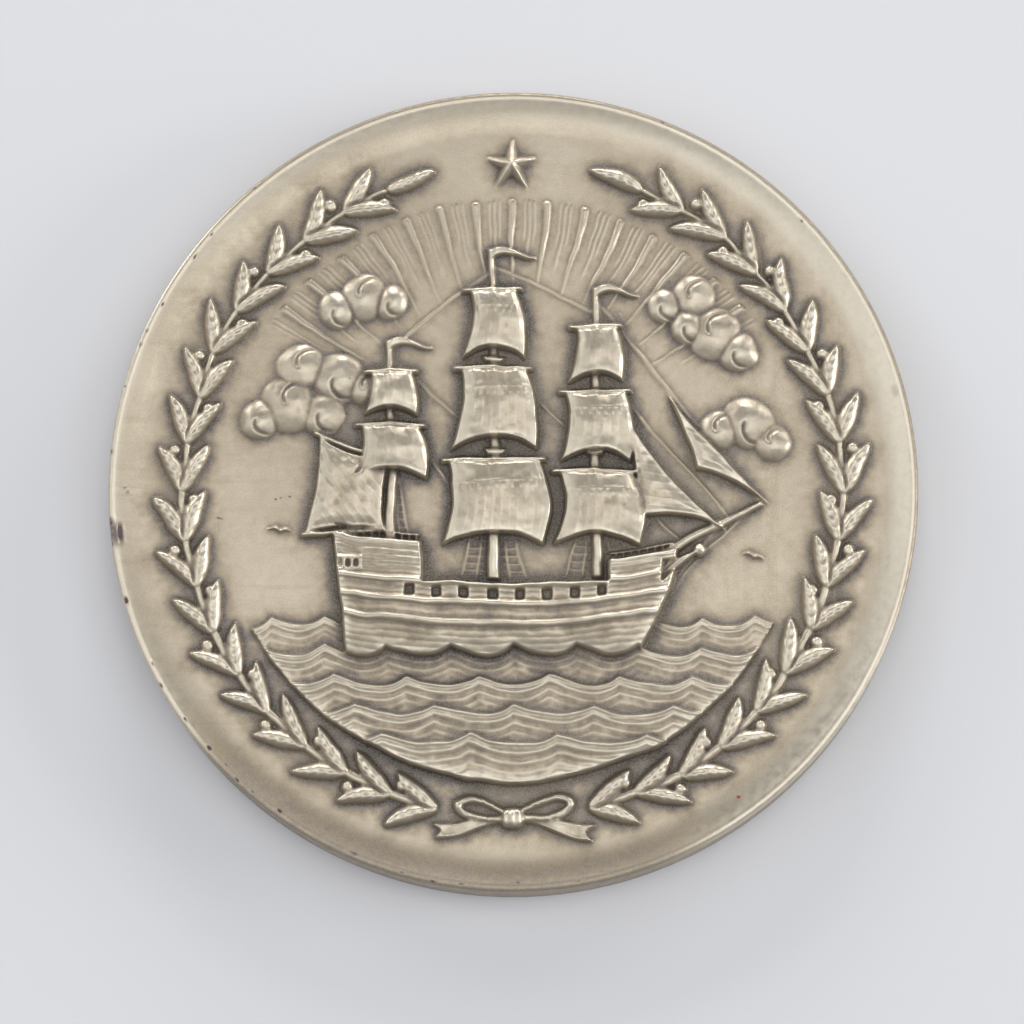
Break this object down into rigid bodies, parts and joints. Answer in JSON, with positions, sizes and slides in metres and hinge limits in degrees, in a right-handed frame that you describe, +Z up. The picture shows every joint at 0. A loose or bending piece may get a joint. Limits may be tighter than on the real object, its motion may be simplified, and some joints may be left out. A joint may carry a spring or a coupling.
{
  "type": "commemorative medal",
  "caption": "Round struck commemorative medal, antique silver finish: raised rim, laurel border with ribbon and star, and a sailing ship on waves in high relief; plain dished reverse.",
  "frame": {"origin": "centre of the plane that the medal rests on, at the foot of its reverse", "axes": "+Z up through the medal towards its face, +Y towards the top of the design"},
  "size_m": [0.0636, 0.0636, 0.0065],
  "materials": {
    "struck_metal": "satin antique silver plate on bronze, grained field, dark patina in the recesses, light wear on the crests"
  },
  "bodies": {
    "root": {"medal": "struck_metal"}
  },
  "joints": []
}
